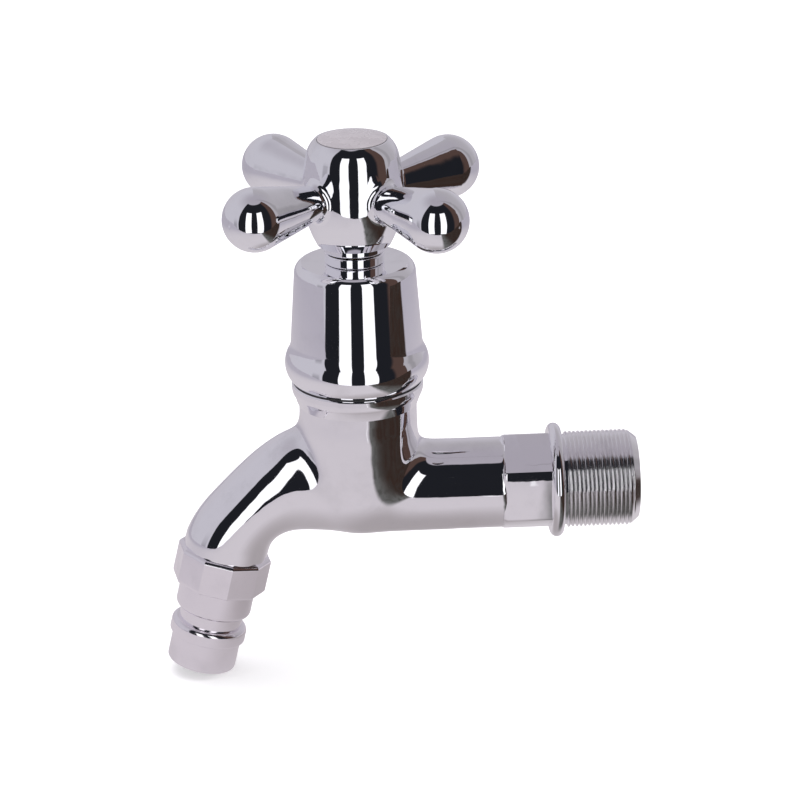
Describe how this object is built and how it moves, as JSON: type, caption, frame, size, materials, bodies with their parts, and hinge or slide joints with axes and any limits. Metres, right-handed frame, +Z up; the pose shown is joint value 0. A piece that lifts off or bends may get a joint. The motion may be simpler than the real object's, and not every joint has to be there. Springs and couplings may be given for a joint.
{
  "type": "utility sink faucet",
  "caption": "Wall-mounted screw-down tap with a cross handle, bell cover, threaded inlet tube and a bent spout that ends in a hose tail.",
  "frame": {"origin": "centre of the inlet tube's axis at the outer face of the round collar, where the plain band of the pipe thread begins", "axes": "+X along the inlet tube, out of its threaded end; +Z up along the barrel towards the handle; the spout points to -X"},
  "size_m": [0.1032, 0.0558, 0.1208],
  "materials": {
    "chrome_casting": "polished chrome over a brass casting",
    "chrome_handle": "polished chrome over a zinc casting",
    "chrome_nozzle": "bright chrome over turned brass",
    "turned_brass": "turned and left bare",
    "black_rubber": "moulded black rubber",
    "red_fibre": "pressed fibre sheet",
    "white_packing": "white sealing packing",
    "index_plastic": "moulded pale lavender plastic",
    "zinc_steel": "zinc plated steel"
  },
  "bodies": {
    "tap": {"tap_body": "chrome_casting", "headwork_body": "turned_brass", "headwork_washer": "red_fibre", "stem_ring_seal": "black_rubber", "gland_packing": "white_packing", "gland_washer": "turned_brass", "gland_nut": "turned_brass", "bonnet_cover": "chrome_casting", "cover_seal_ring": "black_rubber", "cover_lock_nut": "chrome_casting", "nozzle_nut": "chrome_nozzle", "nozzle_washer": "black_rubber", "hose_tail": "chrome_nozzle"},
    "valve": {"jumper_valve": "turned_brass", "tap_washer": "black_rubber", "washer_nut": "turned_brass"},
    "spindle_set": {"spindle": "turned_brass", "handle_bush": "turned_brass", "cross_handle": "chrome_handle", "handle_screw": "zinc_steel", "screw_washer": "zinc_steel", "index_cap": "index_plastic"}
  },
  "joints": [
    {"name": "valve_rise", "type": "slide", "parent": "tap", "child": "valve", "axis": [0, 0, 1], "range_m": [0, 0.00625]},
    {"name": "handle_turn", "type": "hinge", "parent": "valve", "child": "spindle_set", "pos_m": [-0.0438, 0, 0.06705], "axis": [0, 0, 1], "range_deg": [0, 900]}
  ],
  "couplings": [
    {"joint": "valve_rise", "follows": "handle_turn", "m_per_rad": 0.00039789}
  ]
}
